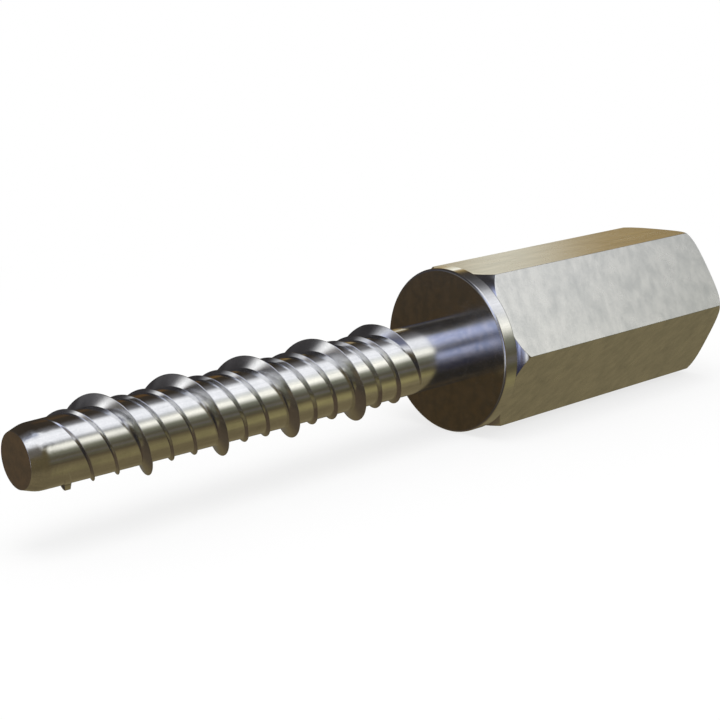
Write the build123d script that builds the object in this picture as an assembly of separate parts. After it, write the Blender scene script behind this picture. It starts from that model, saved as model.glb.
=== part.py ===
from build123d import *
import os
from math import atan, cos, degrees, radians, sin, sqrt, tan

# One-piece concrete screw anchor: a tapered shank with three rolled threads, a round collar
# and a long hexagon head with a stepped threaded socket in its free end.
# The axis of the screw lies along X, the collar's bearing face is at X = 0, and one flat of
# the hexagon faces down.

# Hexagon head
wrench_size = 13.0
head_length = 28.94
far_rounding = 1.3
far_face_radius = 6.3
near_chamfer_length = 1.16
near_chamfer_root_radius = 6.42
near_chamfer_bulge = 0.06
envelope_clearance = 1.0

# Round collar under the head
collar_radius = 7.04
collar_thickness = 1.41
bearing_face_radius = 6.82
collar_front_edge = 0.16

# Shank
shank_length = 40.47
tip_face_radius = 2.05
tip_bevel_length = 1.02
tip_core_radius = 2.405
neck_radius = 2.80
neck_length = 6.1
neck_root_bevel = 0.12

# Rolled threads: one high and two low ridges side by side on the same pitch. Each ridge is
# steeper on the flank that faces the head than on the one that faces the tip.
thread_pitch = 6.586
thread_taper = 0.0144
high_crest_radius = 3.81
high_tip_flank = 22.0
high_head_flank = 15.0
low_crest_radius = 3.215
low_tip_flank = 30.0
low_head_flank = 18.0
crest_width = 0.13
thread_root_depth = 0.3
high_phase = 134.1
first_low_phase = 14.6
second_low_phase = -95.1

# Where the ridges rise out of the core near the tip and sink back into it at the neck
high_start = 37.24
high_start_turn = 42.0
high_start_drop = 0.46
low_start = 38.5
low_start_turn = 90.0
high_end = 5.12
high_end_turn = 145.0
low_end = 5.3
low_end_turn = 75.0
sink_margin = 0.06

# Stepped threaded socket in the free end: M10 at the mouth and M8 behind it
mouth_radius = 5.15
outer_bore_radius = 4.25
outer_bore_depth = 12.0
inner_bore_radius = 3.4
inner_bore_depth = 22.0
step_cone_angle = 59.0
drill_point_angle = 59.0


def core_radius_at(distance):
    # Radius of the plain core at a distance from the bearing face towards the tip.
    cone_length = shank_length - tip_bevel_length - neck_length
    share = (distance - neck_length) / cone_length
    return neck_radius + (tip_core_radius - neck_radius) * max(0.0, min(1.0, share))


def shank_and_collar():
    # Turned core of the shank with the collar, as one profile around the screw axis.
    tip = -shank_length
    with BuildSketch() as profile:
        with BuildLine():
            Polyline(
                (tip, 0),
                (tip, tip_face_radius),
                (tip + tip_bevel_length, tip_core_radius),
                (-neck_length, neck_radius),
                (-neck_root_bevel, neck_radius),
                (0, neck_radius + neck_root_bevel),
                (0, bearing_face_radius),
                (collar_front_edge, collar_radius),
                (collar_thickness, collar_radius),
                (collar_thickness, 0),
                (tip, 0),
            )
        make_face()
    return revolve(profile.sketch, axis=Axis.X)


def head():
    # Hexagon bar cut by a turned envelope: a curved chamfer behind the collar and a rounded
    # free end, so each flat ends in an arc.
    corner = wrench_size / sqrt(3)
    outside = corner + envelope_clearance
    near = collar_thickness
    near_corner_at = near + near_chamfer_length
    near_middle = (
        (near + near_corner_at) / 2 - near_chamfer_bulge,
        (near_chamfer_root_radius + corner) / 2 + near_chamfer_bulge,
    )
    rounding_at = head_length - far_rounding
    far_corner_at = rounding_at + sqrt(far_rounding**2 - (corner - far_face_radius) ** 2)
    far_middle = (
        rounding_at + far_rounding * cos(radians(30)),
        far_face_radius + far_rounding * sin(radians(30)),
    )
    with BuildSketch() as profile:
        with BuildLine():
            Polyline((near, 0), (near, near_chamfer_root_radius))
            ThreePointArc((near, near_chamfer_root_radius), near_middle, (near_corner_at, corner))
            Polyline(
                (near_corner_at, corner),
                (near_corner_at + envelope_clearance, outside),
                (far_corner_at - envelope_clearance, outside),
                (far_corner_at, corner),
            )
            ThreePointArc((far_corner_at, corner), far_middle, (head_length, far_face_radius))
            Polyline((head_length, far_face_radius), (head_length, 0), (near, 0))
        make_face()
    envelope = revolve(profile.sketch, axis=Axis.X)
    with BuildSketch(Plane.YZ.offset(near)) as hexagon:
        RegularPolygon(radius=wrench_size / 2, side_count=6, major_radius=False)
    bar = extrude(hexagon.sketch, amount=head_length - near)
    return bar & envelope


def socket():
    # Stepped bore for the two threads, drilled from the free end, with a conical bottom.
    mouth_chamfer = mouth_radius - outer_bore_radius
    step_at = head_length - outer_bore_depth
    step = (outer_bore_radius - inner_bore_radius) / tan(radians(step_cone_angle))
    bottom_at = head_length - inner_bore_depth
    point = inner_bore_radius / tan(radians(drill_point_angle))
    with BuildSketch() as profile:
        with BuildLine():
            Polyline(
                (head_length, 0),
                (head_length, mouth_radius),
                (head_length - mouth_chamfer, outer_bore_radius),
                (step_at, outer_bore_radius),
                (step_at - step, inner_bore_radius),
                (bottom_at, inner_bore_radius),
                (bottom_at - point, 0),
                (head_length, 0),
            )
        make_face()
    return revolve(profile.sketch, axis=Axis.X)


def ridge_section(crest_radius, core_radius, tip_flank, head_flank):
    # Ridge with a narrow flat crest, its root sunk below the surface of the core.
    root = core_radius - thread_root_depth
    half_crest = crest_width / 2
    tip_side = half_crest + (crest_radius - root) * tan(radians(tip_flank))
    head_side = half_crest + (crest_radius - root) * tan(radians(head_flank))
    with BuildSketch(Plane.XZ) as section:
        with BuildLine():
            Polyline(
                (root, -tip_side),
                (crest_radius, -half_crest),
                (crest_radius, half_crest),
                (root, head_side),
                close=True,
            )
        make_face()
    return section.sketch


def spiral(radius, rise, growth):
    # Right-hand spiral around local Z that climbs by rise while its radius changes by growth.
    cone = atan(growth / rise)
    return Helix(
        pitch=thread_pitch / cos(cone), height=rise, radius=radius, cone_angle=degrees(cone)
    )


def thread(crest_at_neck, flanks, phase, start, start_turn, start_drop, end, end_turn):
    # One ridge: the even run, the rise out of the core at the tip and the run-out at the neck.
    low_point = start - thread_pitch * start_turn / 360
    high_point = end + thread_pitch * end_turn / 360
    crest = crest_at_neck - thread_taper * low_point
    rise = low_point - high_point
    section = ridge_section(crest, core_radius_at(low_point), *flanks)
    even = sweep(section, path=spiral(crest, rise, thread_taper * rise), is_frenet=True)

    first_run = thread_pitch * start_turn / 360
    down = spiral(crest, first_run, -start_drop).rotate(Axis.X, 180)
    beginning = sweep(section, path=down, is_frenet=True)

    last_run = thread_pitch * end_turn / 360
    last_crest = crest_at_neck - thread_taper * high_point
    sink = last_crest - core_radius_at(high_point) + sink_margin
    turned = 360 * rise / thread_pitch
    up = Pos(0, 0, rise) * Rot(0, 0, turned) * spiral(last_crest, last_run, -sink)
    end_face = even.faces().filter_by(GeomType.PLANE).sort_by(Axis.Z)[-1]
    ending = sweep(end_face, path=up, is_frenet=True)

    seat = Plane(origin=(-low_point, 0, 0), x_dir=(0, 1, 0), z_dir=(1, 0, 0))
    turn = Rot(0, 0, phase - 360 * low_point / thread_pitch)
    return [seat.location * turn * piece for piece in (beginning, even, ending)]


def threads():
    # The high ridge, then the two low ones that share its pitch.
    low_drop = low_crest_radius - thread_taper * low_start - core_radius_at(low_start) + sink_margin
    high = thread(
        high_crest_radius,
        (high_tip_flank, high_head_flank),
        high_phase,
        high_start,
        high_start_turn,
        high_start_drop,
        high_end,
        high_end_turn,
    )
    low = []
    for phase in (first_low_phase, second_low_phase):
        low += thread(
            low_crest_radius,
            (low_tip_flank, low_head_flank),
            phase,
            low_start,
            low_start_turn,
            low_drop,
            low_end,
            low_end_turn,
        )
    return high + low


def screw_anchor():
    # Everything fused to the one solid that the real screw is.
    body = shank_and_collar() + head()
    body = body - socket()
    return body + threads()


os.makedirs("parts", exist_ok=True)
anchor = screw_anchor()
export_step(anchor, "parts/screw_anchor.step")
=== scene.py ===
from math import atan2, cos, hypot, pi, radians, sin, tan

import bmesh
import bpy
import numpy as np
from mathutils import Matrix, Vector


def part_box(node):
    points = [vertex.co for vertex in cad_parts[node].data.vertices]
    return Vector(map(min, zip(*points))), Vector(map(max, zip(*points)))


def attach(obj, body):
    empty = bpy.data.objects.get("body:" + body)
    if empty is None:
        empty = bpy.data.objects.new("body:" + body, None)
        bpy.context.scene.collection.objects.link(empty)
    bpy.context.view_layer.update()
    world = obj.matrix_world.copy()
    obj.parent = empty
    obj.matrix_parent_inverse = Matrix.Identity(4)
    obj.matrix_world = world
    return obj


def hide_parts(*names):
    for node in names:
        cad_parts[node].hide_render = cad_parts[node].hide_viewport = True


# One zinc-plated screw anchor, with its threads, edges and finish in full detail.
# Sizes here are in millimetres, in the frame of the solid: X along the screw axis towards the
# head's free end, with the collar's bearing face at X = 0. Meshes are written in metres.

MM = 0.001

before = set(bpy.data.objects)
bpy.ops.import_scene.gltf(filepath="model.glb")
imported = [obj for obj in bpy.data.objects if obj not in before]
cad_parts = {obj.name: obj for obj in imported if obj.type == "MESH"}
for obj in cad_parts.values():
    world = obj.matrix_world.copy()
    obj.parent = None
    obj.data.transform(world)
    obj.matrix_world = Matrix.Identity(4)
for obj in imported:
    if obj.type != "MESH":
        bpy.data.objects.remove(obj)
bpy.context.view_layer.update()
solid_low, solid_high = (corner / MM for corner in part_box("screw_anchor"))

# Half the angle that one side of a hexagon takes up
HALF_SIDE = radians(30)

# Main sizes, read from the solid
SHANK_LENGTH = -solid_low.x
HEAD_LENGTH = solid_high.x
CORNER_RADIUS = solid_high.y
FLAT_RADIUS = CORNER_RADIUS * cos(HALF_SIDE)
COLLAR_RADIUS = solid_high.z

# Hexagon head and collar
COLLAR_THICKNESS = 1.41
COLLAR_FRONT_ROUNDING = 0.2
COLLAR_BACK_ROUNDING = 0.12
CHAMFER_ROOT_RADIUS = 6.42
CHAMFER_LENGTH = 1.16
CHAMFER_BULGE = 0.06
FAR_ROUNDING = 1.3
FAR_FACE_RADIUS = 6.3
EDGE_ROUNDING = 0.06

# Shank. Its shoulder is the stretch of core that the rounding of the tip's bevel runs into.
TIP_FACE_RADIUS = 2.05
TIP_EDGE_ROUNDING = 0.02
TIP_BEVEL_LENGTH = 1.02
TIP_BEVEL_ROUNDING = 2.2
TIP_CORE_RADIUS = 2.405
NECK_RADIUS = 2.80
NECK_LENGTH = 6.1
NECK_FILLET = 0.005
SHOULDER_LENGTH = 0.816

# Rolled threads: the three ridges share one pitch and one taper, and the mesh that carries them
# ends behind their run-outs, at THREADS_END from the bearing face. The flanks of a sinking ridge
# lean no further than they do at LEAST_SHARE of its height.
THREAD_PITCH = 6.586
THREAD_TAPER = 0.0144
THREADS_END = 4.6
LEAST_SHARE = 0.02

# Stepped socket with its two threads
MOUTH_RADIUS = 5.15
OUTER_BORE_RADIUS = 4.25
OUTER_BORE_DEPTH = 12.0
OUTER_THREAD_RADIUS = 5.0
OUTER_THREAD_PITCH = 1.5
INNER_BORE_RADIUS = 3.4
INNER_BORE_DEPTH = 22.0
INNER_THREAD_RADIUS = 4.0
INNER_THREAD_PITCH = 1.25
THREAD_FLANK_ANGLE = radians(30)
THREAD_ROOT_SHARE = 1 / 8
DRILL_ANGLE = radians(59)
BORE_EDGE_ROUNDING = 0.04
PLAIN_BORE = 0.5

# Fineness of the mesh. Patches meet at PATCH_BORDER from an edge, the rows of a ridge stay
# RIDGE_SPREAD apart where it has sunk, and points in the same cell of size WELD become one.
COLUMNS = 144
ARC_STEPS = 4
COLLAR_ARC_STEPS = 6
CHAMFER_ROWS = 6
FLAT_ROWS = 5
FAR_ROUNDING_ROWS = 9
PATCH_BORDER = 0.2
RIDGE_SPREAD = 0.002
WELD = 0.0005


class Ridge:
    # One rolled thread: sizes in millimetres, angles in degrees, places from the bearing face.
    def __init__(self, crest, flanks, edges, phase, start, start_turn, end, end_turn):
        self.crest = crest
        self.flanks = flanks
        self.rounding, self.fillet = edges
        self.phase = phase
        self.start = start
        self.start_run = THREAD_PITCH * start_turn / 360
        self.end = end
        self.end_run = THREAD_PITCH * end_turn / 360
        self.start_share = 0
        self.start_crest = 0
        self.cut_run = self.start_run
        self.trace = 0
        self.trace_run = self.start_run

    def cut_start(self, share, crest, turn, trace, trace_turn):
        # A ridge that begins as a stub with a wide crest, after a faint trace of itself.
        self.start_share = share
        self.start_crest = crest
        self.cut_run = THREAD_PITCH * turn / 360
        self.trace = trace
        self.trace_run = THREAD_PITCH * trace_turn / 360

    def missing(self, distance):
        # 1 where the ridge begins, 0 from where it has its full form.
        return 1 - np.clip((self.start - distance) / self.start_run, 0, 1)

    def sunk(self, distance):
        # 0 where the ridge has its full form, 1 where it has sunk into the neck.
        return np.clip((self.end + self.end_run - distance) / self.end_run, 0, 1)

    def full_height(self, distance):
        return self.crest - THREAD_TAPER * distance - core_radius(distance)

    def share(self, distance):
        # The ridge's height as a share of the full one.
        cut = np.clip((self.start - distance) / self.cut_run, 0, 1)
        trace = self.trace * np.clip((self.start - distance) / self.trace_run + 1, 0, 1)
        grown = 1 - (1 - self.start_share) * self.missing(distance)
        return np.maximum(grown * cut, trace) * (1 - self.sunk(distance))

    def height(self, distance):
        return self.full_height(distance) * self.share(distance)

    def flank(self, distance, side):
        # Where a ridge is lower its flanks lean more, so that it stays rather wide at its base.
        share = np.maximum(self.share(distance), LEAST_SHARE)
        return np.arctan(tan(radians(self.flanks[side])) / np.sqrt(share))

    def crest_width(self, distance):
        return self.start_crest * self.missing(distance)


def high_ridge():
    ridge = Ridge(
        crest=3.81,
        flanks=(22, 15),
        edges=(0.03, 0.02),
        phase=134.1,
        start=37.24,
        start_turn=42,
        end=5.12,
        end_turn=145,
    )
    ridge.cut_start(share=0.5, crest=0.42, turn=4, trace=0.06, trace_turn=60)
    return ridge


def low_ridge(phase):
    return Ridge(
        crest=3.215,
        flanks=(26, 18),
        edges=(0.035, 0.02),
        phase=phase,
        start=38.6,
        start_turn=90,
        end=5.3,
        end_turn=75,
    )


RIDGES = [high_ridge(), low_ridge(phase=14.6), low_ridge(phase=-95.1)]


def core_radius(distance):
    # Radius of the plain core at a distance from the bearing face towards the tip.
    cone_length = SHANK_LENGTH - TIP_BEVEL_LENGTH - NECK_LENGTH
    share = np.clip((distance - NECK_LENGTH) / cone_length, 0, 1)
    return NECK_RADIUS + (TIP_CORE_RADIUS - NECK_RADIUS) * share


def column_angles():
    return np.arange(COLUMNS) * 2 * pi / COLUMNS


def stitch(points, normals, shift=0):
    # Faces of a grid that closes around the axis, its last column joined `shift` rows further on.
    rows = len(points)
    index = np.arange(rows * COLUMNS).reshape(rows, COLUMNS)
    beside = np.roll(index, -1, axis=1)
    beside[:, -1] = index[np.clip(np.arange(rows) + shift, 0, rows - 1), 0]
    quads = np.stack([index[:-1], beside[:-1], beside[1:], index[1:]], axis=-1)
    return points.reshape(-1, 3), normals.reshape(-1, 3), quads.reshape(-1, 4)


def around(x, radius, angle):
    return np.stack([x, radius * np.cos(angle), radius * np.sin(angle)], axis=-1)


def height_field(x, radius, slope_along, slope_around):
    # Points and outward normals of a surface given by its radius over x and the angle.
    angle = np.broadcast_to(column_angles(), x.shape)
    none = np.zeros(x.shape)
    outward = around(none, 1, angle)
    onward = around(none, 1, angle + pi / 2)
    normals = outward - onward * (slope_around / radius)[..., None]
    normals[..., 0] -= slope_along
    normals /= np.linalg.norm(normals, axis=-1, keepdims=True)
    return around(x, radius, angle), normals


def half_ridge(height, flank, rounding, fillet):
    # Rows from the crest to the base: offset along X, height, slope, and share of the rise.
    both = rounding + fillet
    bend = np.arcsin(np.clip((both - height) / both, -1, 1))
    angle = np.maximum(flank, bend)
    low_centre = np.sqrt(np.maximum(both**2 - (both - height) ** 2, 0))
    high_centre = (both - (both - height) * np.sin(flank)) / np.cos(flank)
    centre = np.where(bend > flank, low_centre, high_centre)
    rows = []
    for share in np.linspace(0, 1, ARC_STEPS):
        turn = pi / 2 + (angle - pi / 2) * share
        offset = rounding * np.cos(turn)
        lift = height - rounding + rounding * np.sin(turn)
        rows.append((offset, lift, -1 / np.tan(turn), np.ones(COLUMNS)))
    for share in np.linspace(0, 1, ARC_STEPS):
        turn = angle + (pi / 2 - angle) * share
        offset = centre - fillet * np.cos(turn)
        lift = fillet - fillet * np.sin(turn)
        rows.append((offset, lift, -1 / np.tan(turn), np.full(COLUMNS, 1 - share)))
    flank_middle = np.mean(rows[ARC_STEPS - 1 : ARC_STEPS + 1], axis=0)
    rows.insert(ARC_STEPS, flank_middle)
    rows = np.array(rows)
    rows[:, 0] += RIDGE_SPREAD * np.arange(len(rows))[:, None]
    return np.moveaxis(rows, 1, 0)


def ridge_strip(ridge, turn):
    # The rows of one turn of a ridge, from its tip side to its head side.
    ahead = (-ridge.phase % 360) / 360
    centre = THREAD_PITCH * (turn + ahead + column_angles() / (2 * pi))
    height = ridge.height(-centre)
    small = 0.001
    climb = (ridge.height(-centre - small) - ridge.height(-centre + small)) / (2 * small)
    edges = ridge.rounding, ridge.fillet
    offset, lift, slope, share = half_ridge(height, ridge.flank(-centre, 0), *edges)
    tip_side = np.array([centre - offset, lift, -slope, share * climb])[:, ::-1]
    offset, lift, slope, share = half_ridge(height, ridge.flank(-centre, 1), *edges)
    offset += ridge.crest_width(-centre) + RIDGE_SPREAD
    head_side = np.array([centre + offset, lift, slope, share * climb])
    return np.concatenate([tip_side, head_side], axis=1)


def threaded_core(low_x, high_x):
    # The three ridges and the core between them, on a mesh whose rows follow the spirals.
    order = sorted(RIDGES, key=lambda ridge: -ridge.phase % 360)
    turns = range(int(low_x // THREAD_PITCH) - 2, int(high_x // THREAD_PITCH) + 2)
    strips = [ridge_strip(ridge, turn) for turn in turns for ridge in order]
    parts = []
    for strip, following in zip(strips[:-1], strips[1:]):
        parts.append(strip)
        for share in (1 / 3, 2 / 3):
            between = np.zeros((4, 1, COLUMNS))
            between[0, 0] = strip[0, -1] + (following[0, 0] - strip[0, -1]) * share
            parts.append(between)
    x, lift, slope, climb = np.concatenate(parts, axis=1)
    inside = (x > low_x) & (x < high_x)
    x = np.clip(x, low_x, high_x)
    lift, slope, climb = lift * inside, slope * inside, climb * inside
    small = 0.01
    core_slope = (core_radius(-x - small) - core_radius(-x + small)) / (2 * small)
    slope_around = (climb - slope) * THREAD_PITCH / (2 * pi)
    points, normals = height_field(x, core_radius(-x) + lift, core_slope + slope, slope_around)
    rows_in_a_turn = sum(part.shape[1] for part in parts[: 3 * len(RIDGES)])
    return stitch(points, normals, rows_in_a_turn)


def internal_thread(low_x, high_x, pitch, bore_radius, thread_radius):
    # A right-hand thread cut outwards from a bore, fading out over half a pitch at both ends.
    depth = thread_radius - bore_radius
    fade = pitch / 2
    flank = depth * tan(THREAD_FLANK_ANGLE)
    root = pitch * THREAD_ROOT_SHARE
    land = pitch - root - 2 * flank
    edge = BORE_EDGE_ROUNDING
    part = edge / flank
    places = [
        (0, 0, 0),
        (land - edge, 0, 0),
        (land + edge, part, 1),
        (land + flank - edge, 1 - part, 1),
        (land + flank + edge, 1, 0),
        (land + flank + root - edge, 1, 0),
        (land + flank + root + edge, 1 - part, -1),
        (pitch - edge, part, -1),
    ]
    rows = []
    for turn in range(int(high_x // pitch) + 2, int(low_x // pitch) - 2, -1):
        for place, share, side in reversed(places):
            x = pitch * (turn + column_angles() / (2 * pi)) + place
            from_ends = np.minimum(x - low_x, high_x - x)
            cut = np.clip(from_ends / fade, 0, 1)
            rows.append((np.clip(x, low_x, high_x), depth * share * cut, side * depth / flank * cut))
    x, lift, slope = np.moveaxis(np.array(rows), 1, 0)
    points, normals = height_field(x, bore_radius + lift, slope, -slope * pitch / (2 * pi))
    return stitch(points, -normals, -len(places))


def rounded_profile(corners, steps):
    # Points and normals along a line of (x, radius, rounding) corners, its left side outwards.
    places = np.array([corner[:2] for corner in corners], float)
    ways = np.diff(places, axis=0)
    ways /= np.linalg.norm(ways, axis=1, keepdims=True)
    lefts = np.stack([-ways[:, 1], ways[:, 0]], axis=1)
    profile = [(*places[0], *lefts[0])]
    for corner, before, after, first in zip(corners[1:-1], ways[:-1], ways[1:], lefts[:-1]):
        rounding = corner[2]
        turned_by = atan2(before[0] * after[1] - before[1] * after[0], before @ after)
        side = -1 if turned_by > 0 else 1
        start = np.array(corner[:2]) - before * rounding * tan(abs(turned_by) / 2)
        centre = start - first * rounding * side
        from_angle = atan2(first[1], first[0])
        for share in np.linspace(0, 1, steps):
            angle = from_angle + turned_by * share
            normal = np.array([cos(angle), sin(angle)])
            profile.append((*(centre + normal * rounding * side), *normal))
    profile.append((*places[-1], *lefts[-1]))
    return np.array(profile)


def turned(corners, steps=ARC_STEPS):
    # A surface of revolution from a rounded profile.
    x, radius, out_x, out_radius = rounded_profile(corners, steps).T[..., None]
    angle = np.broadcast_to(column_angles(), (len(x), COLUMNS))
    points = around(x + 0 * angle, radius, angle)
    normals = around(out_x + 0 * angle, out_radius, angle)
    return stitch(points, normals)


def hexagon_outline():
    # Radius, angle and facing angle of each column on the hexagon, with lightly rounded corners.
    per_side = COLUMNS // 6
    reach = CORNER_RADIUS / 2 - EDGE_ROUNDING * tan(HALF_SIDE)
    along = np.linspace(-reach, reach, per_side - 1)
    corner = (FLAT_RADIUS - EDGE_ROUNDING) / cos(HALF_SIDE) + EDGE_ROUNDING
    radius = np.append(corner, np.hypot(FLAT_RADIUS, along))
    angle = np.append(0, HALF_SIDE + np.arctan2(along, FLAT_RADIUS))
    facing = np.append(0, np.full(per_side - 1, HALF_SIDE))
    sides = np.repeat(np.arange(6), per_side) * 2 * HALF_SIDE
    return np.tile(radius, 6), np.tile(angle, 6) + sides, np.tile(facing, 6) + sides


def circle_through(a, b, c):
    # Centre and radius of the circle through three points.
    chords = 2 * np.array([np.subtract(b, a), np.subtract(c, a)])
    sizes = np.array([np.dot(b, b) - np.dot(a, a), np.dot(c, c) - np.dot(a, a)])
    centre = np.linalg.solve(chords, sizes)
    return centre[0], centre[1], hypot(*(centre - a))


def hexagon(collar_back_radius, mouth_face_radius):
    # The head behind the collar: curved chamfer, six flats and rounded free end.
    radius, angle, facing = hexagon_outline()
    near = COLLAR_THICKNESS
    corner_at = near + CHAMFER_LENGTH
    middle_at = (near + corner_at) / 2 - CHAMFER_BULGE
    middle_radius = (CHAMFER_ROOT_RADIUS + CORNER_RADIUS) / 2 + CHAMFER_BULGE
    centre_x, centre_radius, chamfer = circle_through(
        (near, CHAMFER_ROOT_RADIUS), (middle_at, middle_radius), (corner_at, CORNER_RADIUS)
    )
    edge = EDGE_ROUNDING / 2
    even = np.ones(COLUMNS)
    rows = []

    def add(x, ring_radius, ring_angle, out_x, out_radius, out_angle):
        points = around(x * even, ring_radius, ring_angle)
        rows.append((points, around(out_x * even, out_radius, out_angle)))

    def chamfer_at(ring_radius):
        return centre_x - np.sqrt(chamfer**2 - (ring_radius - centre_radius) ** 2)

    add(near, collar_back_radius, column_angles(), 1, 0, column_angles())
    add(near, CHAMFER_ROOT_RADIUS + edge, angle, 1, 0, angle)
    root = CHAMFER_ROOT_RADIUS + edge / 2
    for share in np.linspace(0, 1, CHAMFER_ROWS):
        ring = root + (radius - edge - root) * share
        x = chamfer_at(ring)
        add(x, ring, angle, (x - centre_x) / chamfer, (ring - centre_radius) / chamfer, angle)
    rounding_x = HEAD_LENGTH - FAR_ROUNDING
    flat_from = chamfer_at(radius) + edge
    flat_to = rounding_x + np.sqrt(FAR_ROUNDING**2 - (radius - FAR_FACE_RADIUS) ** 2) - edge
    for share in np.linspace(0, 1, FLAT_ROWS):
        add(flat_from + (flat_to - flat_from) * share, radius, angle, 0, 1, facing)
    widest = np.arcsin((radius - edge - FAR_FACE_RADIUS) / FAR_ROUNDING)
    for share in np.linspace(1, 0, FAR_ROUNDING_ROWS):
        out_x, out_radius = np.cos(widest * share), np.sin(widest * share)
        ring = FAR_FACE_RADIUS + FAR_ROUNDING * out_radius
        add(rounding_x + FAR_ROUNDING * out_x, ring, angle, out_x, out_radius, angle)
    add(HEAD_LENGTH, mouth_face_radius, column_angles(), 1, 0, column_angles())
    points, normals = np.moveaxis(np.array(rows), 1, 0)
    return stitch(points, normals)


def weld(patches):
    # One list of points, normals and faces from patches whose borders lie on each other.
    points = np.concatenate([patch[0] for patch in patches])
    normals = np.concatenate([patch[1] for patch in patches])
    starts = np.cumsum([0] + [len(patch[0]) for patch in patches[:-1]])
    quads = np.concatenate([patch[2] + start for patch, start in zip(patches, starts)])
    cells = np.round(points / WELD).astype(np.int64)
    _, first, merged = np.unique(cells, axis=0, return_index=True, return_inverse=True)
    merged = merged.reshape(-1)
    summed = np.zeros((len(first), 3))
    np.add.at(summed, merged, normals)
    faces = []
    for quad in merged[quads].tolist():
        face = [corner for place, corner in enumerate(quad) if corner != quad[place - 1]]
        if len(set(face)) == len(face) > 2:
            faces.append(face)
    return points[first], summed, faces


def anchor_patches():
    # The whole surface in the order of its profile, from the tip to the bottom of the socket.
    tip = -SHANK_LENGTH
    shoulder = tip + TIP_BEVEL_LENGTH
    threads_from = shoulder + SHOULDER_LENGTH
    threads_to = -THREADS_END
    collar_back = COLLAR_RADIUS - PATCH_BORDER
    mouth_face = MOUTH_RADIUS + PATCH_BORDER
    thread_from = HEAD_LENGTH - (MOUTH_RADIUS - OUTER_BORE_RADIUS) - 2 * BORE_EDGE_ROUNDING
    step_from = HEAD_LENGTH - OUTER_BORE_DEPTH
    step_to = step_from - (OUTER_BORE_RADIUS - INNER_BORE_RADIUS) / tan(DRILL_ANGLE)
    bottom = HEAD_LENGTH - INNER_BORE_DEPTH
    edge = BORE_EDGE_ROUNDING
    yield turned(
        [
            (tip, 0, 0),
            (tip, TIP_FACE_RADIUS, TIP_EDGE_ROUNDING),
            (shoulder, TIP_CORE_RADIUS, TIP_BEVEL_ROUNDING),
            (threads_from, core_radius(-threads_from), 0),
        ]
    )
    yield threaded_core(threads_from, threads_to)
    yield turned(
        [
            (threads_to, NECK_RADIUS, 0),
            (0, NECK_RADIUS, NECK_FILLET),
            (0, COLLAR_RADIUS, COLLAR_FRONT_ROUNDING),
            (COLLAR_THICKNESS, COLLAR_RADIUS, COLLAR_BACK_ROUNDING),
            (COLLAR_THICKNESS, collar_back, 0),
        ],
        COLLAR_ARC_STEPS,
    )
    yield hexagon(collar_back, mouth_face)
    yield turned(
        [
            (HEAD_LENGTH, mouth_face, 0),
            (HEAD_LENGTH, MOUTH_RADIUS, edge),
            (thread_from + 2 * edge, OUTER_BORE_RADIUS, edge),
            (thread_from, OUTER_BORE_RADIUS, 0),
        ]
    )
    yield internal_thread(
        step_from + PLAIN_BORE,
        thread_from,
        OUTER_THREAD_PITCH,
        OUTER_BORE_RADIUS,
        OUTER_THREAD_RADIUS,
    )
    yield turned(
        [
            (step_from + PLAIN_BORE, OUTER_BORE_RADIUS, 0),
            (step_from, OUTER_BORE_RADIUS, edge),
            (step_to, INNER_BORE_RADIUS, edge),
            (step_to - 2 * edge, INNER_BORE_RADIUS, 0),
        ]
    )
    yield internal_thread(
        bottom + PLAIN_BORE,
        step_to - 2 * edge,
        INNER_THREAD_PITCH,
        INNER_BORE_RADIUS,
        INNER_THREAD_RADIUS,
    )
    yield turned(
        [
            (bottom + PLAIN_BORE, INNER_BORE_RADIUS, 0),
            (bottom, INNER_BORE_RADIUS, edge),
            (bottom - INNER_BORE_RADIUS / tan(DRILL_ANGLE), 0, 0),
        ]
    )


def anchor_piece():
    points, normals, faces = weld(list(anchor_patches()))
    mesh = bpy.data.meshes.new("screw_anchor_finish")
    mesh.from_pydata((points * MM).tolist(), [], faces)
    mesh.shade_smooth()
    mesh.normals_split_custom_set_from_vertices(
        (normals / np.linalg.norm(normals, axis=1, keepdims=True)).tolist()
    )
    piece = bpy.data.objects.new("screw_anchor_finish", mesh)
    bpy.context.scene.collection.objects.link(piece)
    return piece


# Finish of the metal: bright zinc, its duller spots, and the stains of the pressed faces
METAL_COLOUR = (0.80, 0.80, 0.80)
DULL_METAL_COLOUR = (0.60, 0.61, 0.62)
WARM_STAIN = (0.80, 0.75, 0.66)
COOL_STAIN = (0.63, 0.63, 0.60)

# Mean share of bright zinc, and how strongly each pattern changes it
BRIGHT_SHARE = 0.65
CLOUD_STRENGTH = 1.6
GRAIN_STRENGTH = 0.8
SHANK_MARKS_STRENGTH = 1.2
HEAD_MARKS_STRENGTH = 2.2

# Roughness of each part, and how far the clouds change it
SHANK_ROUGHNESS = 0.12
NECK_ROUGHNESS = 0.16
HEAD_ROUGHNESS = 0.26
CHAMFER_ROUGHNESS = 0.1
CLOUD_ROUGHNESS = 0.1

# Heights of what is raised on the surface
SWELL_HEIGHT = 0.003
GRAIN_HEIGHT = 0.0002
DENT_HEIGHT = 0.03

# Where each zone of the finish begins or ends along X: 0 at the first place, 1 at the second
HEAD_BEGINS = (1.5, 2.5)
NECK_BEGINS = (-6.5, -5.5)
NECK_ENDS = (0.4, 0.1)
TIP_BEGINS = (-37.0, -39.3)

# How far the parts of a surface's normal have to lean for it to count as the head's chamfer, as
# lying across the axis, as level, and as leaning to one side or the other
CHAMFER_LEAN = (-0.15, -0.3)
ACROSS_LEAN = (0.97, 0.99)
LEVEL_LEAN = (0.7, 0.85)
SIDE_LEAN = (-0.05, 0.05)

# Values of the blotches where the stain is all cool and all warm
STAIN_EDGE = (0.35, 0.65)

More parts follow.
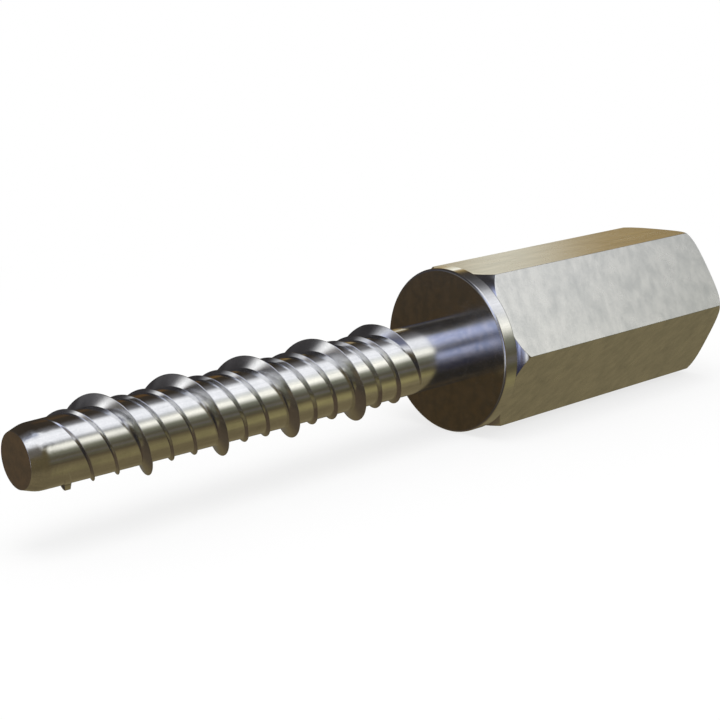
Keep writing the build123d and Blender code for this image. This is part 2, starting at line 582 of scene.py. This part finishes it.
# Colours of the studio, as the metal shows them on a screen
WHITE = (255, 255, 255)
WARM_WHITE = (252, 250, 238)
COOL_WHITE = (236, 237, 241)
CREAM = (210, 207, 190)
PALE_GREY = (214, 216, 216)
LAVENDER = (192, 203, 248)
PALE_SLATE = (165, 170, 185)
SLATE = (90, 94, 120)
NAVY = (44, 46, 66)
LIGHT_GREY = (130, 126, 125)
GREY = (107, 106, 108)
GREY_GREEN = (112, 113, 99)
WARM_GREY = (88, 84, 78)
DARK_GREY = (50, 48, 49)
CHARCOAL = (43, 41, 40)
BLACK = (26, 27, 30)
GRASS_GREEN = (138, 130, 88)
HEDGE_GREEN = (100, 100, 60)
LIGHT_OLIVE = (110, 101, 76)
OLIVE = (99, 89, 65)
DARK_OLIVE = (83, 74, 52)
GOLD = (150, 129, 86)
TAN = (130, 117, 90)
AMBER = (110, 80, 42)
BROWN = (73, 62, 50)
RUST_BROWN = (58, 48, 33)
DARK_BROWN = (52, 46, 39)
EARTH_BROWN = (41, 28, 25)

# Studio around the object: soft panels painted on a dome that only reflections see. Each panel
# has its centre and half sizes in degrees of azimuth and elevation, its soft edge and its
# colour, and lies over the panels before it. Azimuth 0 is past the head's free end, and the
# camera stands at azimuth -130. The values were drafted first, then fitted by a program to
# the reflections in the photograph, and last rounded. The dome's radius is in metres.
DOME_RADIUS = 3.0
STUDIO_STRENGTH = 1.36
ALL_AROUND = 180
OPEN_WALL_COLOUR = COOL_WHITE
PANELS = [
    # Floor and horizon
    ("olive floor", 0, -75, ALL_AROUND, 58, 7, OLIVE),
    ("light grass", -37, -30, 9, 19, 15, GRASS_GREEN),
    ("light floor", 22, -30, 52, 18, 10, LIGHT_OLIVE),
    ("brown floor", 145, -60, 70, 22, 17, BROWN),
    ("grey horizon", -25, 6, 98, 22, 15, GREY_GREEN),
    ("dark ground", -32, -13, 92, 12, 12, EARTH_BROWN),
    ("olive hedge", -50, -13, 38, 3, 10, HEDGE_GREEN),
    ("grey verge", -56, -12, 36, 4, 3, WARM_GREY),
    ("zenith", 0, 86, ALL_AROUND, 10, 8, PALE_SLATE),
    # Behind the object: a wall with a lit strip and a lamp
    ("grey back wall", 84, 37, 88, 52, 15, GREY),
    ("brown wall", 66, 31, 42, 49, 17, DARK_BROWN),
    ("amber strip", 54, 24, 2, 9, 8, AMBER),
    ("golden wall", 42, 8, 8, 20, 5, GOLD),
    ("warm lamp", 44, 11, 2, 14, 2, CREAM),
    ("warm lamp head", 43, 21, 2, 2, 2, WARM_WHITE),
    # Right of the object and the camera: a pale wall, a doorway and a window
    ("pale right wall", -45, 30, 8, 10, 2, PALE_GREY),
    ("dark doorway", 6, 25, 23, 15, 8, BLACK),
    ("dark beam above the window", -70, 34, 16, 8, 9, BLACK),
    ("warm window", -67, 23, 30, 8, 8, WARM_WHITE),
    ("olive wall beside the camera", -92, -1, 23, 36, 14, DARK_OLIVE),
    ("grey wall beside the camera", -106, 29, 12, 17, 12, WARM_GREY),
    # Left of the object: a dark wall with a lamp
    ("dark left wall", 140, 6, 35, 45, 16, DARK_GREY),
    ("brown low wall", 116, -17, 14, 14, 7, BROWN),
    ("brown corner", 135, -16, 8, 8, 6, RUST_BROWN),
    ("grey upper wall", 163, 62, 56, 22, 17, DARK_GREY),
    ("lamp glow", 168, 8, 38, 11, 8, GREY),
    ("side lamp", 177, 10, 9, 7, 6, WHITE),
    ("navy corner", 132, 4, 5, 8, 5, NAVY),
    # From the tip round to the camera: low walls, a blue corner and a window
    ("lavender ceiling", -153, 35, 20, 18, 9, LAVENDER),
    ("slate wall", -150, 11, 15, 19, 7, SLATE),
    ("grey corner", -178, -4, 11, 9, 7, WARM_GREY),
    ("grey strip", -174, 0, 5, 14, 6, LIGHT_GREY),
    ("tan low wall", 180, -33, 22, 8, 3, TAN),
    ("dark skirting", 150, -36, 20, 7, 8, DARK_BROWN),
    ("dark low wall", -152, -43, 43, 18, 16, CHARCOAL),
    ("dark wall behind the camera", -133, -10, 11, 33, 8, NAVY),
    ("blue window behind the camera", -133, 0, 9, 12, 10, LAVENDER),
    ("brown gap", -130, -11, 3, 9, 5, BROWN),
    ("navy edge", -139, -6, 2, 12, 2, NAVY),
    ("pale spot", -117, -9, 3, 8, 4, COOL_WHITE),
]

# Camera of the photograph, as angles in degrees and distances in millimetres, from a fit to the
# edges of the object
CAMERA_AZIMUTH = -40.44
CAMERA_ELEVATION = 12.93
CAMERA_ROLL = -3.18
CAMERA_ACROSS = -7.17
CAMERA_UP = -0.76
CAMERA_DISTANCE = 128.13
CAMERA_CLIP = 10.0
FOCAL_PIXELS = 1518.0
PICTURE_PIXELS = 720
SENSOR_WIDTH = 36.0

# Floor: it keeps the object's shadow as far as its reach, mixed with the glow's share of plain
# white, and is the background's white from twice that distance
FLOOR_SIZE = 1200.0
FLOOR_SHADOW_REACH = 60.0
FLOOR_GLOW = 0.75
FLOOR_COLOUR = (0.9, 0.9, 0.9)
BACKGROUND_COLOUR = (1.0, 1.0, 1.0)
FLOOR_LIGHT_COLOUR = (0.8, 0.8, 0.8)

# Softbox above the object, in metres and watts
LAMP_SIZE = 0.6
LAMP_POWER = 3.0
LAMP_PLACE = (-0.1, -0.2, 0.8)


def linear(colour):
    # Screen colour from 0 to 255 as linear light.
    share = np.array(colour) / 255
    return np.where(share <= 0.04045, share / 12.92, ((share + 0.055) / 1.055) ** 2.4)


class Shader:
    # Adds nodes to a node tree and joins them, so that a shader reads as a short recipe.
    def __init__(self, owner):
        owner.use_nodes = True
        self.nodes = owner.node_tree.nodes
        self.links = owner.node_tree.links
        self.nodes.clear()

    def add(self, kind, inputs=(), **settings):
        node = self.nodes.new(kind)
        for name, value in settings.items():
            setattr(node, name, value)
        for name, value in dict(inputs).items():
            if isinstance(value, bpy.types.NodeSocket):
                self.links.new(value, node.inputs[name])
            else:
                node.inputs[name].default_value = value
        return node

    def math(self, operation, *values, clamp=False):
        inputs = dict(enumerate(values))
        return self.add("ShaderNodeMath", inputs, operation=operation, use_clamp=clamp).outputs[0]

    def ramp(self, value, low, high):
        # Rises smoothly from 0 to 1 as the value goes from low to high.
        inputs = {"Value": value, "From Min": low, "From Max": high}
        return self.add("ShaderNodeMapRange", inputs, interpolation_type="SMOOTHSTEP").outputs[0]

    def mix(self, share, below, above, kind="FLOAT"):
        inputs = {"Factor": share, "A": below, "B": above}
        mix = self.nodes.new("ShaderNodeMix")
        mix.data_type = kind
        for name, value in inputs.items():
            socket = [s for s in mix.inputs if s.name == name and s.enabled][0]
            if isinstance(value, bpy.types.NodeSocket):
                self.links.new(value, socket)
            else:
                socket.default_value = value
        return [s for s in mix.outputs if s.enabled][0]

    def band(self, distance, half, soft):
        # 1 near a panel's centre line, 0 past its soft edge. The distance is in radians, and the
        # half size and the soft edge are in degrees.
        across = self.math("ABSOLUTE", distance)
        return self.ramp(across, radians(half + soft), radians(half - soft))

    def blend(self, share, below, above):
        return self.mix(share, below, above, "RGBA")

    def noise(self, place, size, stretch=(1, 1, 1), turn=0, detail=4):
        # Cloudy pattern of spots about `size` millimetres, stretched and turned around Y.
        spot = {
            "Vector": place,
            "Rotation": (0, radians(turn), 0),
            "Scale": [size * MM * share for share in stretch],
        }
        spots = self.add("ShaderNodeMapping", spot, vector_type="TEXTURE").outputs[0]
        pattern = {"Vector": spots, "Scale": 1.0, "Detail": detail, "Roughness": 0.6}
        return self.add("ShaderNodeTexNoise", pattern).outputs[0]

    def gain(self, pattern, strength):
        # A pattern around 0.5 as plus and minus, made stronger or weaker.
        return self.math("MULTIPLY", self.math("SUBTRACT", pattern, 0.5), strength)

    def bump(self, pattern, height, below=None):
        # Normal of a surface with the pattern raised on it, its height in millimetres.
        inputs = {"Height": pattern, "Strength": 1.0, "Distance": height * MM}
        if below is not None:
            inputs["Normal"] = below
        return self.add("ShaderNodeBump", inputs).outputs[0]


def rgba(colour):
    return (*[float(part) for part in colour], 1.0)


def metal_material():
    # Zinc-plated steel: glossy on the rolled shank, satin with drawing marks on the head's flats,
    # blotchy on the pressed faces that stand across the axis.
    material = bpy.data.materials.new("zinc_plated_steel")
    shader = Shader(material)
    coordinates = shader.add("ShaderNodeTexCoord").outputs
    place = coordinates["Object"]
    along_axis = shader.add("ShaderNodeSeparateXYZ", {0: place}).outputs[0]
    facing = shader.add("ShaderNodeSeparateXYZ", {0: coordinates["Normal"]}).outputs

    def zone(places):
        return shader.ramp(along_axis, places[0] * MM, places[1] * MM)

    on_head = zone(HEAD_BEGINS)
    on_neck = shader.math("MULTIPLY", zone(NECK_BEGINS), zone(NECK_ENDS))
    on_chamfer = shader.math("MULTIPLY", on_head, shader.ramp(facing[0], *CHAMFER_LEAN))
    across_axis = shader.ramp(shader.math("ABSOLUTE", facing[0]), *ACROSS_LEAN)
    on_bevel = shader.math("MULTIPLY", zone(TIP_BEGINS), shader.math("SUBTRACT", 1.0, across_axis))
    level = shader.ramp(shader.math("ABSOLUTE", facing[2]), *LEVEL_LEAN)
    leaning = shader.ramp(shader.math("MULTIPLY", facing[1], facing[2]), *SIDE_LEAN)

    cloud = shader.noise(place, size=2.0)
    blotch = shader.noise(place, size=0.9, detail=6)
    grain = shader.noise(place, size=0.12, detail=3)
    rolled = shader.noise(place, size=0.22, stretch=(16, 1, 1), detail=6)
    lengthwise = shader.noise(place, size=0.9, stretch=(5, 1, 1))
    crosswise = shader.noise(place, size=1.0, stretch=(1, 1.8, 1.8), turn=15, detail=8)
    slanting = shader.noise(place, size=0.6, stretch=(2.5, 1, 1), turn=-40, detail=8)
    marks = shader.mix(leaning, crosswise, slanting)
    marks = shader.mix(level, marks, lengthwise)
    marks = shader.mix(on_head, rolled, marks)

    strength = shader.mix(on_head, SHANK_MARKS_STRENGTH, HEAD_MARKS_STRENGTH)
    marked = shader.math("MULTIPLY", shader.gain(marks, 1.0), strength)
    brightness = shader.math("ADD", shader.gain(cloud, CLOUD_STRENGTH), marked)
    brightness = shader.math("ADD", brightness, shader.gain(grain, GRAIN_STRENGTH))
    brightness = shader.math("ADD", brightness, BRIGHT_SHARE, clamp=True)
    clean = shader.blend(brightness, rgba(DULL_METAL_COLOUR), rgba(METAL_COLOUR))
    spots = shader.ramp(blotch, *STAIN_EDGE)
    stained = shader.blend(spots, rgba(COOL_STAIN), rgba(WARM_STAIN))
    colour = shader.blend(across_axis, clean, stained)

    satin = shader.mix(on_neck, SHANK_ROUGHNESS, NECK_ROUGHNESS)
    satin = shader.mix(on_head, satin, HEAD_ROUGHNESS)
    satin = shader.mix(on_chamfer, satin, CHAMFER_ROUGHNESS)
    roughness = shader.math("ADD", satin, shader.gain(cloud, CLOUD_ROUGHNESS))

    swell = shader.noise(place, size=1.5, stretch=(2.5, 1, 1), detail=2)
    dents = shader.noise(place, size=1.6, detail=3)
    surface = shader.bump(swell, SWELL_HEIGHT)
    surface = shader.bump(grain, GRAIN_HEIGHT, surface)
    surface = shader.bump(shader.math("MULTIPLY", dents, on_bevel), DENT_HEIGHT, surface)
    metal = shader.add(
        "ShaderNodeBsdfPrincipled",
        {"Base Color": colour, "Metallic": 1.0, "Roughness": roughness, "Normal": surface},
    )
    output = shader.add("ShaderNodeOutputMaterial")
    shader.links.new(metal.outputs[0], output.inputs[0])
    return material


def studio_material():
    # The dome's colour by direction, as light that the metal turns into the panels' colours.
    material = bpy.data.materials.new("studio_panels")
    shader = Shader(material)
    place = shader.add("ShaderNodeTexCoord").outputs["Object"]
    along = shader.add("ShaderNodeSeparateXYZ", {0: place}).outputs
    azimuth = shader.math("ARCTAN2", along[1], along[0])
    elevation = shader.math("ARCSINE", shader.math("DIVIDE", along[2], DOME_RADIUS))
    colour = rgba(linear(OPEN_WALL_COLOUR))
    for name, at_azimuth, at_elevation, half_width, half_height, soft, seen in PANELS:
        above = shader.math("SUBTRACT", elevation, radians(at_elevation))
        share = shader.band(above, half_height, soft)
        if half_width < ALL_AROUND:
            aside = shader.math("SUBTRACT", azimuth, radians(at_azimuth))
            aside = shader.math("WRAP", aside, pi, -pi)
            share = shader.math("MULTIPLY", share, shader.band(aside, half_width, soft))
        colour = shader.blend(share, colour, rgba(linear(seen)))
        colour.node.label = name
    light = shader.add("ShaderNodeEmission", {"Color": colour, "Strength": STUDIO_STRENGTH})
    output = shader.add("ShaderNodeOutputMaterial")
    shader.links.new(light.outputs[0], output.inputs[0])
    return material


def studio_dome():
    mesh = bpy.data.meshes.new("studio_dome")
    sphere = bmesh.new()
    bmesh.ops.create_uvsphere(sphere, u_segments=96, v_segments=48, radius=DOME_RADIUS)
    sphere.to_mesh(mesh)
    sphere.free()
    mesh.shade_smooth()
    mesh.materials.append(studio_material())
    dome = bpy.data.objects.new("studio_dome", mesh)
    bpy.context.scene.collection.objects.link(dome)
    dome.visible_camera = False
    dome.visible_diffuse = False
    dome.visible_shadow = False
    dome.visible_transmission = False
    dome.visible_volume_scatter = False


def seen_directly(shader):
    # 1 for what the camera, reflections and clear materials see, 0 for what lights the floor.
    path = shader.add("ShaderNodeLightPath").outputs
    either = shader.math("MAXIMUM", path["Is Camera Ray"], path["Is Glossy Ray"])
    return shader.math("MAXIMUM", either, path["Is Transmission Ray"])


def white_world():
    world = bpy.data.worlds.new("white_studio")
    bpy.context.scene.world = world
    shader = Shader(world)
    directly = seen_directly(shader)
    colour = shader.blend(directly, rgba(FLOOR_LIGHT_COLOUR), rgba(BACKGROUND_COLOUR))
    light = shader.add("ShaderNodeBackground", {"Color": colour, "Strength": 1.0})
    output = shader.add("ShaderNodeOutputWorld")
    shader.links.new(light.outputs[0], output.inputs[0])


def floor():
    # White floor: it shows the object's shadow near it and fades into the white background.
    half = FLOOR_SIZE * MM / 2
    level = solid_low.z * MM
    mesh = bpy.data.meshes.new("studio_floor")
    corners = [(-half, -half, level), (half, -half, level), (half, half, level), (-half, half, level)]
    mesh.from_pydata(corners, [], [(0, 1, 2, 3)])
    material = bpy.data.materials.new("white_floor")
    shader = Shader(material)
    place = shader.add("ShaderNodeTexCoord").outputs["Object"]
    distance = shader.add("ShaderNodeVectorMath", {0: place}, operation="LENGTH").outputs["Value"]
    matt = shader.add("ShaderNodeBsdfDiffuse", {"Color": rgba(FLOOR_COLOUR)})
    glowing = {"Color": rgba(BACKGROUND_COLOUR), "Strength": 1.0}
    white = shader.add("ShaderNodeEmission", glowing)
    faded = shader.ramp(distance, FLOOR_SHADOW_REACH * MM, 2 * FLOOR_SHADOW_REACH * MM)
    glow = shader.mix(faded, FLOOR_GLOW, 1.0)
    share = shader.math("MULTIPLY", seen_directly(shader), glow)
    mixed = shader.add("ShaderNodeMixShader", {0: share, 1: matt.outputs[0], 2: white.outputs[0]})
    output = shader.add("ShaderNodeOutputMaterial")
    shader.links.new(mixed.outputs[0], output.inputs[0])
    mesh.materials.append(material)
    plane = bpy.data.objects.new("studio_floor", mesh)
    bpy.context.scene.collection.objects.link(plane)
    plane.visible_glossy = False


def overhead_light():
    lamp = bpy.data.lights.new("overhead_softbox", "AREA")
    lamp.shape = "DISK"
    lamp.size = LAMP_SIZE
    lamp.energy = LAMP_POWER
    light = bpy.data.objects.new("overhead_softbox", lamp)
    light.location = LAMP_PLACE
    light.rotation_euler = Vector(light.location).to_track_quat("Z", "Y").to_euler()
    light.visible_glossy = False
    bpy.context.scene.collection.objects.link(light)


def photo_camera():
    azimuth = radians(CAMERA_AZIMUTH)
    elevation = radians(CAMERA_ELEVATION)
    back = Vector(
        (sin(azimuth) * cos(elevation), -cos(azimuth) * cos(elevation), sin(elevation))
    )
    level = Vector((0, 0, 1)).cross(back).normalized()
    upright = back.cross(level)
    roll = radians(CAMERA_ROLL)
    right = level * cos(roll) + upright * sin(roll)
    up = upright * cos(roll) - level * sin(roll)
    place = right * CAMERA_ACROSS + up * CAMERA_UP + back * CAMERA_DISTANCE
    lens = bpy.data.cameras.new("photo_camera")
    lens.sensor_width = SENSOR_WIDTH
    lens.lens = FOCAL_PIXELS / PICTURE_PIXELS * SENSOR_WIDTH
    lens.clip_start = CAMERA_CLIP * MM
    camera = bpy.data.objects.new("photo_camera", lens)
    turn = Matrix((right, up, back)).transposed().to_4x4()
    camera.matrix_world = Matrix.Translation(place * MM) @ turn
    bpy.context.scene.collection.objects.link(camera)
    bpy.context.scene.camera = camera


anchor = anchor_piece()
anchor.data.materials.append(metal_material())
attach(anchor, "root")
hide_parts("screw_anchor")

white_world()
studio_dome()
floor()
overhead_light()
photo_camera()
bpy.context.scene.view_settings.view_transform = "Standard"
